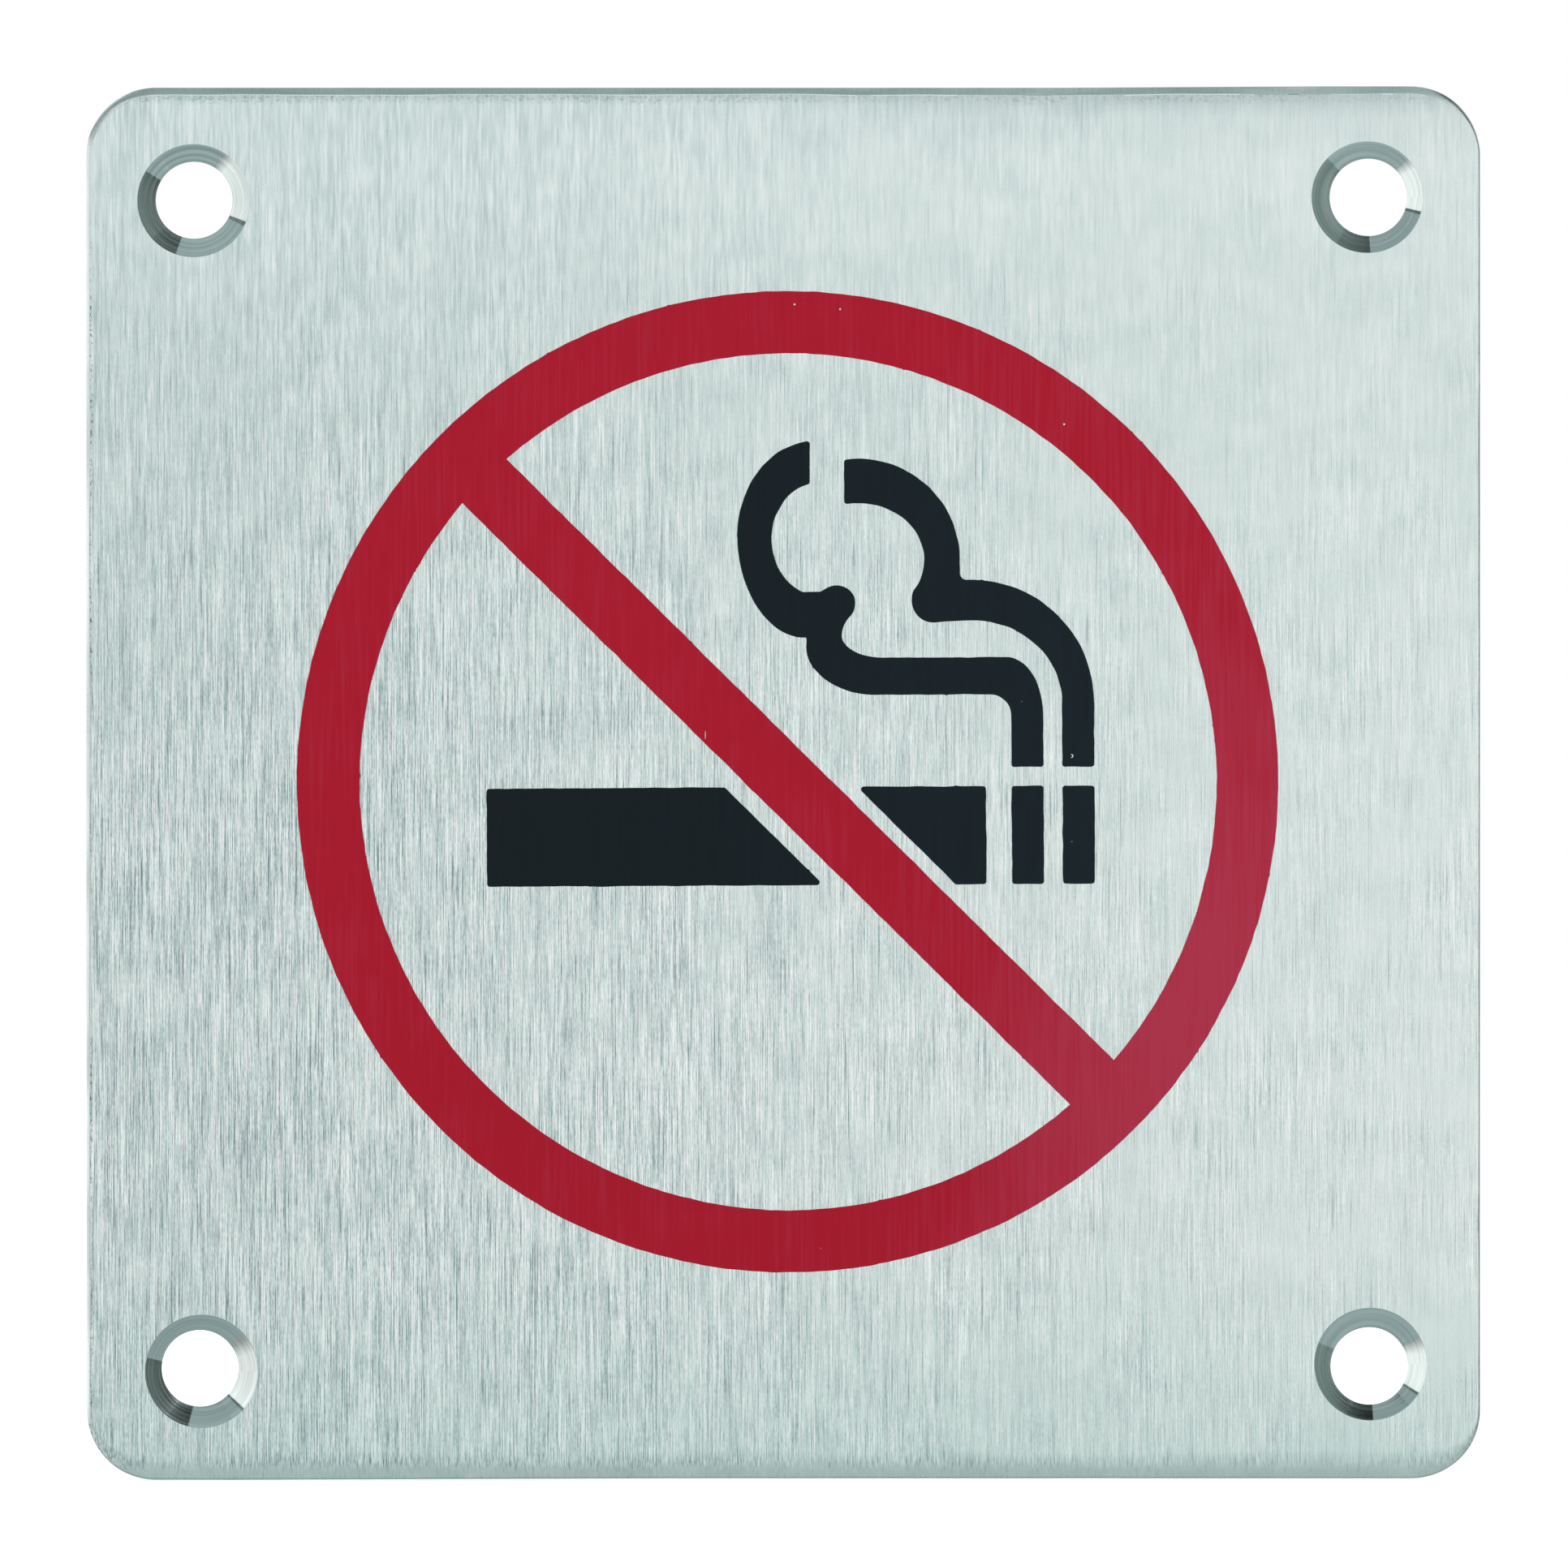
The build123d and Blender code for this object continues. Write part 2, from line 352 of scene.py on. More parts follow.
@dataclass(frozen=True)
class BrushedStainless:
    """Stainless sheet, dry-brushed upright with a fine belt.

    The belt leaves upright scratches, so the sheet mirrors its surroundings drawn out sideways:
    pale, silky and slightly green-grey, with hair-fine light and dark streaks.
    """

    name: str = "brushed stainless"
    dark: str = "#84989A"
    middle: str = "#D4E0DD"
    pale: str = "#FCFFFD"
    pale_from: float = 0.8
    # Some scratches hold a green cast and others a violet one
    green: str = "#F9FFFD"
    violet: str = "#FFFAFE"
    hue: Grain = Grain(0.08, 3.0, seed=41.2)
    hue_turn: Threshold = Threshold(0.35, 0.65)
    # From the upper left to the lower right the sheet turns from faintly green to neutral, by
    # this share in each metre
    upper_left: str = "#F8FFFF"
    lower_right: str = "#FFFEFE"
    drift: tuple[tuple[str, float], ...] = (("X", 5.5), ("Z", -5.5))
    roughness: float = 0.3
    rough_lines: float = 0.04
    rough_mottle: float = 0.06
    anisotropy: float = 0.95
    # The belt's scratches are about 0.03 mm wide. They are drawn twice as wide, so that they
    # still show. They are of many lengths, and the shares say how much each length shows.
    scratches: tuple[tuple[Grain, float], ...] = (
        (Grain(0.05, 0.35, seed=3.1), 0.6),
        (Grain(0.05, 0.9, seed=11.7), 0.68),
        (Grain(0.052, 2.4, seed=23.9), 1.0),
        (Grain(0.055, 6.0, seed=37.3), 0.98),
        (Grain(0.065, 16.0, seed=53.9), 0.68),
    )
    # The belt bit deepest at the lower left, and ran out towards the right and the top, where
    # its streaks are broad and soft. The bottom edge rolls away from it.
    share: Fade = Fade("X", (-40, 42), (1.15, 0.43))
    patches: Grain = Grain(5.0, 9.0, seed=83.1, detail=1.0)
    bite: Fade = Fade("Z", (-4, 50), (0.75, 0.075))
    least_bite: float = 0.07
    touch: Fade = Fade("Z", (-49.4, -48.6), smooth=False)
    silk: tuple[Grain, ...] = (Grain(0.17, 1.6, seed=29.3), Grain(0.2, 4.5, seed=113.9))
    softness: Fade = Fade("Z", (-15, 35), (0.115, 0.23))
    mottle: Grain = Grain(3.2, 2.3, seed=5.3, detail=1.0)
    mottle_share: float = 0.17
    # A few long and dark hairlines, deeper where the belt bit deeper
    hairlines: Grain = Grain(0.1, 6.0, seed=91.7)
    hairline_cut: Threshold = Threshold(0.66, 0.76)
    hairline_depth: float = -0.06
    hairline_bite: float = -0.38
    # A paler band of painted reflection along the top, with painted shade as a darker patch under its
    # right half and a darker line just below the edge over the rest: each has a part of the width,
    # and a drop upwards
    band: Fade = Fade("Z", (35, 42), (0.0, 0.025))
    painted_top_shade: tuple[tuple[Fade, Fade], ...] = (
        (Fade("X", (-6, 16), (0.15, 1.0)), Fade("Z", (44, 48), (0.0, -0.05))),
        (Fade("X", (-6, 16), (0.15, 1.0)), Fade("Z", (47.4, 49.6), (0.0, -0.15))),
        (Fade("X", (-6, 16), (1.0, 0.15)), Fade("Z", (48.65, 49.35), (0.0, -0.15))),
    )
    bruise: str = "#5C7070"
    scuffs: tuple[Scuffs, ...] = (
        Scuffs(
            axis="X",
            place=-49.72,
            reach=0.19,
            sway=0.5,
            wander=Grain(9.0, 4.5, seed=61.0, detail=2.0),
            bruises=Grain(0.12, 0.2, seed=67.0, detail=2.0),
            stretches=Grain(9.0, 11.0, seed=71.5, detail=2.0),
        ),
        Scuffs(
            axis="Z",
            place=49.15,
            reach=0.5,
            sway=0.4,
            wander=Grain(6.0, 9.0, seed=43.0, detail=2.0),
            bruises=Grain(0.26, 0.2, seed=47.0, detail=2.0),
            stretches=Grain(8.0, 9.0, seed=51.5, detail=2.0),
            knocked=Threshold(0.34, 0.5),
            strength=Fade("X", (-20, 20), (0.38, 0.3)),
        ),
    )
    relief: float = 0.0008

    def belt(self, tree: Tree, place: Node) -> tuple[Source, Source]:
        """Adds how hard the belt pressed.

        Args:
            tree: The material's node tree.
            place: The node that gives the place in the row frame.

        Returns:
            How deep the scratches are, and how strong the silky streaks are.
        """
        patches = self.patches.add(tree)
        share = weighted(tree, self.share.add(tree, place), [(patches, 1.0)])
        bite: Source = self.bite.add(tree, place)
        for operation, factor in (
            ("MULTIPLY", share),
            ("MULTIPLY", self.touch.add(tree, place)),
            ("MAXIMUM", self.least_bite),
        ):
            bite = add_node(tree, "Math", {0: bite, 1: factor}, operation=operation)
        soft = self.softness.add(tree, place)
        soft = add_node(tree, "Math", {0: soft, 1: share}, operation="MULTIPLY")
        return bite, soft

    def make(self) -> bpy.types.Material:
        """Makes the finished material."""
        material, tree = new_material(self.name)
        place = place_in_row(tree)
        mottle = self.mottle.add(tree)
        bite, soft = self.belt(tree, place)
        lines = weighted(tree, 0.0, [(grain.add(tree), share) for grain, share in self.scratches])
        layers = [(mottle, self.mottle_share)] + [(grain.add(tree), soft) for grain in self.silk]
        hair = self.hairline_cut.add(tree, self.hairlines.add(tree))
        depth = summed(tree, self.hairline_depth, [(bite, self.hairline_bite)])
        # The paler band along the top is painted reflection, and the darker areas under the top edge
        # are painted shade
        parts = [(self.band.add(tree, place), 1.0), (hair, depth), (lines, bite)]
        parts += [(area.add(tree, place), drop.add(tree, place)) for area, drop in self.painted_top_shade]
        shade = summed(tree, weighted(tree, 0.5, layers), parts)
        ramp = add_node(tree, "ValToRGB", {"Fac": shade})
        stops = ramp.color_ramp.elements
        stops[0].position, stops[0].color = 0.0, linear(self.dark)
        stops[1].position, stops[1].color = self.pale_from, linear(self.pale)
        stops.new(0.5).color = linear(self.middle)

        turn = self.hue_turn.add(tree, self.hue.add(tree))
        drift = summed(tree, 0.5, [(place.outputs[axis], slope) for axis, slope in self.drift])
        colour = ramp
        for factor, low, high, strength in (
            (turn, self.green, self.violet, bite),
            (drift, self.upper_left, self.lower_right, 1.0),
        ):
            cast = {"Factor": factor, 6: linear(low), 7: linear(high)}
            cast = add_node(tree, "Mix", cast, data_type="RGBA")
            cast = {"Factor": strength, 6: colour, 7: cast}
            colour = add_node(tree, "Mix", cast, data_type="RGBA", blend_type="MULTIPLY")
        for scuffs in self.scuffs:
            bruised = {"Factor": scuffs.add(tree, place), 6: colour, 7: linear(self.bruise)}
            colour = add_node(tree, "Mix", bruised, data_type="RGBA")
        rough = [(lines, self.rough_lines), (mottle, self.rough_mottle)]
        rough = weighted(tree, self.roughness, rough)
        finish_surface(tree, colour, rough, self.relief, shade, metal(tree, self.anisotropy))
        return material


@dataclass(frozen=True)
class Wear:
    """A layer of grain, and its weight in a finish's tone, its roughness and its relief."""

    grain: Grain
    tone: float
    rough: float
    relief: float


@dataclass(frozen=True)
class WornStainless:
    """Stainless in two tones, with the marks of whatever made its surface.

    relief is how high the marks stand, in millimetres.
    """

    name: str
    dark: str
    pale: str
    roughness: float
    layers: tuple[Wear, ...]
    relief: float
    anisotropy: float = 0.0
    coordinates: Coordinates = Coordinates.BRUSH

    def make(self) -> bpy.types.Material:
        """Makes the finished material."""
        material, tree = new_material(self.name)
        layers = [(layer.grain.add(tree, self.coordinates), layer) for layer in self.layers]
        tone, rough, height = (
            weighted(tree, start, [(grain, getattr(layer, part)) for grain, layer in layers])
            for start, part in ((0.5, "tone"), (self.roughness, "rough"), (0.5, "relief"))
        )
        colour = {"Factor": tone, 6: linear(self.dark), 7: linear(self.pale)}
        colour = add_node(tree, "Mix", colour, data_type="RGBA")
        finish_surface(tree, colour, rough, self.relief, height, metal(tree, self.anisotropy))
        return material


# Cut round by a countersink bit, which leaves fine rings, so each cone mirrors the room in clean
# sectors, drawn out from the hole to the rim
TURNED_STAINLESS = WornStainless(
    name="turned stainless",
    dark="#AEBFBC",
    pale="#ECF8F5",
    roughness=0.11,
    anisotropy=1.0,
    layers=(
        Wear(Grain(0.07, 9.0, seed=7.7, detail=1.0), 0.9, 0.0, 0.9),
        Wear(Grain(0.24, 14.0, seed=17.1), 0.7, 0.1, 0.7),
    ),
    relief=0.002,
)

# Blanked in a press and tumbled: the die leaves short ticks across the edge, and tumbling leaves
# it smoother than the face
BLANKED_EDGE = WornStainless(
    name="blanked stainless edge",
    dark="#C2D1CE",
    pale="#E8F4F1",
    roughness=0.27,
    layers=(
        Wear(Grain(1.4, 0.11, seed=2.9, detail=1.0), 0.8, 0.0, 0.8),
        Wear(Grain(0.5, 4.0, seed=9.4, detail=1.0), 0.7, 0.16, 0.7),
    ),
    relief=0.002,
)

# The back as it came from the cold rolling mill, duller and more even than the face, with faint
# roll marks and the fine pits of the pickling bath
MILL_FINISH_STAINLESS = WornStainless(
    name="mill-finish stainless",
    dark="#B3BBBA",
    pale="#D6DDDB",
    roughness=0.4,
    layers=(
        Wear(Grain(0.8, 30.0, seed=31.3, detail=2.0), 0.9, 0.08, 0.0),
        Wear(Grain(0.16, 0.2, seed=13.8, detail=2.0), 0.5, 0.14, 1.0),
    ),
    relief=0.0015,
    coordinates=Coordinates.ROW_FRAME,
)


@dataclass(frozen=True)
class ScreenInk:
    """Two-part screen ink, pulled through a mesh and baked on.

    It is a satin film that hides the metal's colour, but still carries a trace of the brushing
    under it, and fine pale dust set into it.
    """

    name: str
    # The film's colour at the left, and its paler colour under the painted sheen at the right
    left: str
    right: str
    dust: str
    dust_share: float
    # A painted sheen makes the film paler towards the right, and for some inks more so lower down
    sheen_across: Fade = Fade("X", (-20, 34))
    sheen_up: Fade = Fade("Z", (-20, 20), (1.0, 1.0))
    roughness: float = 0.42
    gloss: float = 0.1
    grain: Grain = Grain(0.2, 6.0, seed=19.3)
    cloud: Grain = Grain(3.0, 4.5, seed=27.7, detail=1.0)
    peel: Grain = Grain(0.3, 0.34, seed=33.1, detail=1.0)
    # How much each of these three shows in the film's thinness, its roughness and its relief
    thin_shares: tuple[float, float, float] = (0.7, 0.4, 0.0)
    rough_shares: tuple[float, float, float] = (0.0, 0.12, 0.08)
    relief_shares: tuple[float, float, float] = (0.6, 1.0, 0.5)
    dust_spacing: float = 0.9
    dust_size: float = 0.055
    relief: float = 0.0012

    def dusty(self, tree: Tree, colour: Source) -> Source:
        """Sets a grain of dust in a few cells of a pattern, each in a place of its own.

        Args:
            tree: The material's node tree.
            colour: The ink's colour.

        Returns:
            The colour with the dust in it.
        """
        place = add_node(tree, "TexCoord").outputs["Object"]
        packed = 1 / (self.dust_spacing * MM)
        spread = {"Vector": place, "Scale": (packed, 0.0, packed)}
        spread = add_node(tree, "Mapping", spread)
        cells = {"Vector": spread, "Scale": 1.0}
        cells = add_node(tree, "TexVoronoi", cells, feature="F1")
        size = self.dust_size / self.dust_spacing
        away = Threshold(0.5 * size, size).add(tree, cells.outputs["Distance"])
        near = add_node(tree, "Math", {0: 1.0, 1: away}, operation="SUBTRACT")
        chance = add_node(tree, "SeparateXYZ", {"Vector": cells.outputs["Color"]})
        chosen = {0: chance.outputs["X"], 1: 1 - self.dust_share}
        chosen = add_node(tree, "Math", chosen, operation="GREATER_THAN")
        speck = add_node(tree, "Math", {0: near, 1: chosen}, operation="MULTIPLY")
        dust = {"Factor": speck, 6: colour, 7: linear(self.dust)}
        return add_node(tree, "Mix", dust, data_type="RGBA")

    def make(self) -> bpy.types.Material:
        """Makes the finished material."""
        material, tree = new_material(self.name)
        place = place_in_row(tree)
        layers = [layer.add(tree) for layer in (self.grain, self.cloud, self.peel)]
        # A painted sheen pales the film towards the right, and the ink's grain and clouds vary it
        across, up = self.sheen_across.add(tree, place), self.sheen_up.add(tree, place)
        painted_sheen_and_tone = add_node(tree, "Math", {0: across, 1: up}, operation="MULTIPLY")
        painted_sheen_and_tone = weighted(tree, painted_sheen_and_tone, zip(layers, self.thin_shares))
        colour = {"Factor": painted_sheen_and_tone, 6: linear(self.left), 7: linear(self.right)}
        colour = self.dusty(tree, add_node(tree, "Mix", colour, data_type="RGBA"))
        rough = weighted(tree, self.roughness, zip(layers, self.rough_shares))
        height = weighted(tree, 0.0, zip(layers, self.relief_shares))
        more = {"Specular IOR Level": self.gloss}
        finish_surface(tree, colour, rough, self.relief, height, more)
        return material


# The red film's painted sheen is strongest at the lower right
RED_INK = ScreenInk(
    name="red screen ink",
    left="#A01228",
    right="#A62F46",
    dust="#C77F86",
    dust_share=0.012,
    sheen_across=Fade("X", (5, 30)),
    sheen_up=Fade("Z", (-20, 20), (1.0, 0.2)),
)
# The black film's painted sheen grows towards the right only, and more dust shows in it
BLACK_INK = ScreenInk(
    name="black screen ink",
    left="#0C171B",
    right="#111D24",
    dust="#66807F",
    dust_share=0.05,
)


def smooth_round(values: np.ndarray, spacing: float, reach: float) -> np.ndarray:
    """Smooths values round a closed outline.

    Args:
        values: One value for each of its points.
        spacing: How far apart the points are.
        reach: Over what distance the values are blended.

    Returns:
        The smoothed values.
    """
    count = len(values)
    steps = np.minimum(np.arange(count), count - np.arange(count)) * spacing
    kernel = np.exp(-0.5 * (steps / reach) ** 2)
    kernel /= kernel.sum()
    return np.fft.irfft(np.fft.rfft(values) * np.fft.rfft(kernel), count)


def periodic_noise(
    rng: np.random.Generator, count: int, spacing: float, reach: float
) -> np.ndarray:
    """Smooth noise round a closed outline.

    Args:
        rng: Where the random numbers come from.
        count: How many points the outline has.
        spacing: How far apart the points are.
        reach: Over what distance the noise changes.

    Returns:
        One value for each point, with a mean of 0 and a spread of 1.
    """
    smooth = smooth_round(rng.standard_normal(count), spacing, reach)
    smooth -= smooth.mean()
    return smooth / smooth.std()


def left_of(loop: np.ndarray) -> np.ndarray:
    """Gives the direction to the left of a closed loop at each of its points."""
    ahead = np.roll(loop, -1, axis=0) - np.roll(loop, 1, axis=0)
    ahead /= np.linalg.norm(ahead, axis=1)[:, None]
    return np.column_stack([-ahead[:, 1], ahead[:, 0]])


def area_of(loop: np.ndarray) -> float:
    """Gives the area of a closed loop, which is negative if it runs clockwise."""
    x, z = loop.T
    return 0.5 * float(np.sum(x * np.roll(z, -1) - np.roll(x, -1) * z))


class MeshDraft:
    """Collects rings of points, the bands between them and flat fills, and makes one mesh."""

    def __init__(self) -> None:
        """Starts with nothing in it."""
        self.points: list[np.ndarray] = []
        self.count = 0
        self.faces: list[list[int]] = []
        self.slots: list[int] = []
        self.smooth: list[bool] = []
        self.uvs: list[np.ndarray] = []

    def ring(self, x: np.ndarray, z: np.ndarray, depth: np.ndarray | float) -> np.ndarray:
        """Adds a closed ring of points, some way behind the face, and gives their numbers."""
        y = np.broadcast_to(np.asarray(depth, float), x.shape) + FACE_Y
        self.points.append(np.column_stack([x, y, z]))
        first = self.count
        self.count += len(x)
        return np.arange(first, self.count)

    def band(
        self,
        here: np.ndarray,
        there: np.ndarray,
        across: tuple[np.ndarray | float, np.ndarray | float],
        along: np.ndarray,
        slot: int | np.ndarray = 0,
    ) -> None:
        """Joins two rings with a band of four-sided faces.

        Args:
            here: The first ring's points.
            there: The second ring's points.
            across: The first UV axis at each ring.
            along: The second UV axis round the ring, one value more than it has points.
            slot: The material slot of the band, or of each of its faces.
        """
        n = len(here)
        after = (np.arange(n) + 1) % n
        quads = np.column_stack([here, here[after], there[after], there])
        start, end = (np.broadcast_to(np.asarray(value, float), (n,)) for value in across)
        # The four corners of each face, as the two UV axes
        first = np.stack([start, start[after], end[after], end], axis=1)
        second = np.stack([along[:-1], along[1:], along[1:], along[:-1]], axis=1)
        uv = np.stack([first, second], axis=2)
        self.faces.extend(quads.tolist())
        self.uvs.append(uv.reshape(-1, 2))
        self.slots.extend(np.broadcast_to(slot, (n,)).tolist())
        self.smooth.extend([True] * n)

    def fill(self, loops: Sequence[np.ndarray], slot: int = 0) -> None:
        """Fills the flat space inside the first of these loops, and outside the others.

        Args:
            loops: The point numbers of each loop.
            slot: The material slot of the fill.
        """
        everything = np.concatenate(self.points)
        numbers = np.concatenate(loops)
        flat = [[(p[0], p[2], 0.0) for p in everything[loop]] for loop in loops]
        triangles = np.array(tessellate_polygon(flat), int)
        corners = numbers[triangles]
        self.faces.extend(corners.tolist())
        self.uvs.append(everything[corners.reshape(-1)][:, [0, 2]])
        self.slots.extend([slot] * len(corners))
        self.smooth.extend([False] * len(corners))

    def build(self, name: str, materials: Sequence[bpy.types.Material]) -> bpy.types.Object:
        """Makes the object.

        Args:
            name: The piece's name.
            materials: Its materials, in the order of the slots.

        Returns:
            The object, at the origin, with its place in its mesh.
        """
        mesh = bpy.data.meshes.new(name)
        mesh.from_pydata((np.concatenate(self.points) * MM).tolist(), [], self.faces)
        for material in materials:
            mesh.materials.append(material)
        mesh.polygons.foreach_set("material_index", self.slots)
        mesh.polygons.foreach_set("use_smooth", self.smooth)
        # Whatever the belt brushed has its two UV axes across the plate and up it
        corners = np.concatenate(self.faces)
        slots = np.repeat(self.slots, [len(face) for face in self.faces])
        brushed = slots == Surface.FACE.value
        place = np.concatenate(self.points)[corners][:, [0, 2]]
        uvs = np.where(brushed[:, None], place, np.concatenate(self.uvs))
        layer = mesh.uv_layers.new(name=BRUSH_UV)
        layer.data.foreach_set("uv", uvs.astype(np.float32).ravel())
        work = bmesh.new()
        work.from_mesh(mesh)
        bmesh.ops.recalc_face_normals(work, faces=work.faces)
        work.to_mesh(mesh)
        work.free()
        mesh.set_sharp_from_angle(angle=math.radians(SHARP_ANGLE))
        return new_object(name, mesh)


@dataclass(frozen=True)
class EdgeRoll:
    """How one edge of the blank is turned over.

    width is how wide the roll shows from the front, depth how far back it reaches, and flatness
    is 0 for a round roll and 1 for a straight bevel. knee is the share of the bevel's width over
    which the face bends into it, and bare is how wide a strip along the edge the belt missed.
    """

    width: float
    depth: float
    flatness: float = 0.0
    knee: float = 0.2
    bare: float = 0.03


@dataclass(frozen=True)
class ScrewHole:
    """One countersunk screw hole.

    The shifts are how far its bore sits from the middle of its cone, slope is how steep the cone
    is, and groove is how deep the bit's rings are.
    """

    x: float
    z: float
    sink_diameter: float
    bore_diameter: float
    bore_shift_x: float
    bore_shift_z: float
    slope: float
    groove: float


@dataclass
class Plate:
    """The stainless plate: its face, its four edges, each rolled in its own way, and its holes."""

    half_side: float = 50.0
    corner_radius: float = 5.0
    step: float = 0.25
    top: EdgeRoll = EdgeRoll(width=0.58, depth=0.257, flatness=1.0, knee=0.12, bare=0.55)
    bottom: EdgeRoll = EdgeRoll(width=1.9, depth=0.3)
    left: EdgeRoll = EdgeRoll(width=0.27, depth=0.13, flatness=0.95, bare=0.3)
    right: EdgeRoll = EdgeRoll(width=0.2, depth=0.25)
    top_left: EdgeRoll = EdgeRoll(width=0.8, depth=0.45, bare=0.5)
    turned_down: float = -0.2
    roll_rows: int = 16
    # How much the rolls vary round the blank, first in millimetres and then as a share of their
    # width, each with its reach
    roll_wander: float = 0.012
    wander_reach: float = 0.9
    roll_sway: float = 0.06
    sway_reach: float = 3.0
    margin: float = 0.05
    back_break: float = 0.1
    back_margin: float = 0.04
    # The shears cut a little inside the square: places along an edge, and how far inside there
    top_short: Pairs = ((20.0, 0.1), (38.0, 0.0))
    bottom_short: Pairs = ((-40.0, 0.0), (-8.0, 0.11))
    left_short: Pairs = ((-40.0, 0.04), (-25.0, 0.0))
    shear_roughness: float = 0.008
    holes: tuple[ScrewHole, ...] = (
        ScrewHole(-42.29, 41.79, 8.08, 5.52, 0.0, 0.06, slope=0.82, groove=0.0018),
        ScrewHole(41.89, 42.04, 7.98, 5.55, 0.1, 0.02, slope=0.82, groove=0.001),
        ScrewHole(-41.73, -42.2, 8.1, 5.5, -0.14, 0.19, slope=0.795, groove=0.0026),
        ScrewHole(42.12, -41.68, 8.06, 5.54, -0.07, -0.16, slope=0.79, groove=0.0014),
    )
    hole_points: int = 168
    cone_rows: int = 30
    groove_beat: float = 0.25
    # How much steeper than its mean each cone is at its rim, and how much less steep at its bore
    cone_bow: float = 0.035
    rim_break: float = 0.015
    bore_break: float = 0.05
    hole_margin: float = 0.06
    # How far the turned marks run on over the rim, and past the foot of the cone
    rim_travel: tuple[float, float] = (0.045, 0.07)
    bore_travel: tuple[float, float, float] = (0.2, 0.3, 0.35)
    # The upper part of the cut side is burnished, and the lower part is torn and rougher: how far
    # down it each row lies, and from where on it is torn
    side_rows: tuple[float, ...] = (0.25, 0.5, 0.72, 0.9, 1.0)
    torn_from: float = 0.3
    torn_reach: float = 0.3
    torn_mean: float = 1.6
    seed: int = 41

    def outline(self) -> tuple[np.ndarray, np.ndarray, np.ndarray]:
        """Walks round the blank.

        Returns:
            Its outer points, the outward direction at each one, and the distance walked, which
            has one value more.
        """
        straight = self.half_side - self.corner_radius
        points, normals = [], []
        corners = ((1, 1, 0), (-1, 1, 90), (-1, -1, 180), (1, -1, 270))
        turns = round(math.radians(90) * self.corner_radius / self.step)
        runs = round(2 * straight / self.step)
        for sign_x, sign_z, start in corners:
            centre = np.array([sign_x * straight, sign_z * straight])
            for i in range(turns + runs):
                angle = math.radians(start + 90 * min(i, turns) / turns)
                normal = np.array([math.cos(angle), math.sin(angle)])
                slide = max(0, i - turns) * 2 * straight / runs
                along = np.array([-normal[1], normal[0]])
                points.append(centre + self.corner_radius * normal + slide * along)
                normals.append(normal)
        outer = np.array(points)
        sides = (
            (self.top_short, 0, (0, -1)),
            (self.bottom_short, 0, (0, 1)),
            (self.left_short, 1, (1, 0)),
        )
        for short, axis, inward in sides:
            inside = np.interp(outer[:, axis], *zip(*short))
            inside = inside * np.clip(-np.array(normals) @ inward, 0, None) ** 2
            outer = outer + inside[:, None] * np.array(inward)
        gaps = np.linalg.norm(np.roll(outer, -1, axis=0) - outer, axis=1)
        return outer, np.array(normals), np.concatenate([[0.0], np.cumsum(gaps)])

    def by_side(self, normals: np.ndarray, name: str) -> np.ndarray:
        """Blends one size of the edge rolls round the corners, by the outward directions."""
        x, z = normals[:, 0], normals[:, 1]
        sideways = np.where(x > 0, getattr(self.right, name), getattr(self.left, name))
        upright = np.where(z > 0, getattr(self.top, name), getattr(self.bottom, name))
        blend = x**2 * sideways + z**2 * upright
        corner = np.where((x < 0) & (z > 0), 4 * x**2 * z**2, 0.0)
        return blend + corner * (getattr(self.top_left, name) - blend)

    def add_rim(self, draft: MeshDraft, rng: np.random.Generator) -> list[np.ndarray]:
        """Adds the rolled edge, the cut side and the broken back edge.

        Args:
            draft: The mesh so far.
            rng: Where the random numbers come from.

        Returns:
            The rings that bound the face and the back.
        """
        outer, normals, walked = self.outline()
        count = len(outer)
        width, depth, flat, knee, bare = (
            self.by_side(normals, name) for name in ("width", "depth", "flatness", "knee", "bare")
        )
        # The strip that the belt missed on the left ends where the corner turns down
        bare = np.where(normals[:, 1] < self.turned_down, self.bottom.bare, bare)
        wander = self.roll_wander * periodic_noise(rng, count, self.step, self.wander_reach)
        sway = self.roll_sway * periodic_noise(rng, count, self.step, self.sway_reach)
        width = width * (1 + sway) + wander

        rows: list[tuple[np.ndarray, np.ndarray]] = [(width + self.margin, np.zeros(count))]
        for row in range(self.roll_rows + 1):
            t = row / self.roll_rows
            round_inset = 1 - math.sin(math.pi / 2 * t)
            round_depth = 1 - math.cos(math.pi / 2 * t)
            bent = np.where(t < knee, t**2 / (2 * knee), t - knee / 2) / (1 - knee / 2)
            inset = width * (flat * (1 - t) + (1 - flat) * round_inset)
            sunk = depth * (flat * bent + (1 - flat) * round_depth)
            rows.append((inset, sunk))
        for share in self.side_rows:
            torn = self.shear_roughness * max(0.0, share - self.torn_from)
            noise = periodic_noise(rng, count, self.step, self.torn_reach)
            ragged = torn * (self.torn_mean + noise)
            level = depth + share * (PLATE_THICKNESS - self.back_break - depth)
            rows.append((np.clip(ragged, 0, None), level))
        back = np.full(count, self.back_break)
        rows.append((back, np.full(count, PLATE_THICKNESS)))
        rows.append((back + self.back_margin, np.full(count, PLATE_THICKNESS)))

        rings, travel = [], []
        gone = np.zeros(count)
        for i, (inset, sunk) in enumerate(rows):
            place = outer - inset[:, None] * normals
            rings.append(draft.ring(place[:, 0], place[:, 1], sunk))
            if i:
                gone = gone + np.hypot(rows[i - 1][0] - inset, sunk - rows[i - 1][1])
            travel.append(gone)
        last = len(rings) - 1
        for i in range(last):
            reached = ((rows[i + 1][0] > bare) & (i <= self.roll_rows)) | (i == 0)
            rest = Surface.BACK if i == last - 1 else Surface.EDGE
            slot = np.where(reached, Surface.FACE.value, rest.value)
            draft.band(rings[i], rings[i + 1], (travel[i], travel[i + 1]), walked, slot)
        return [rings[0], rings[-1]]

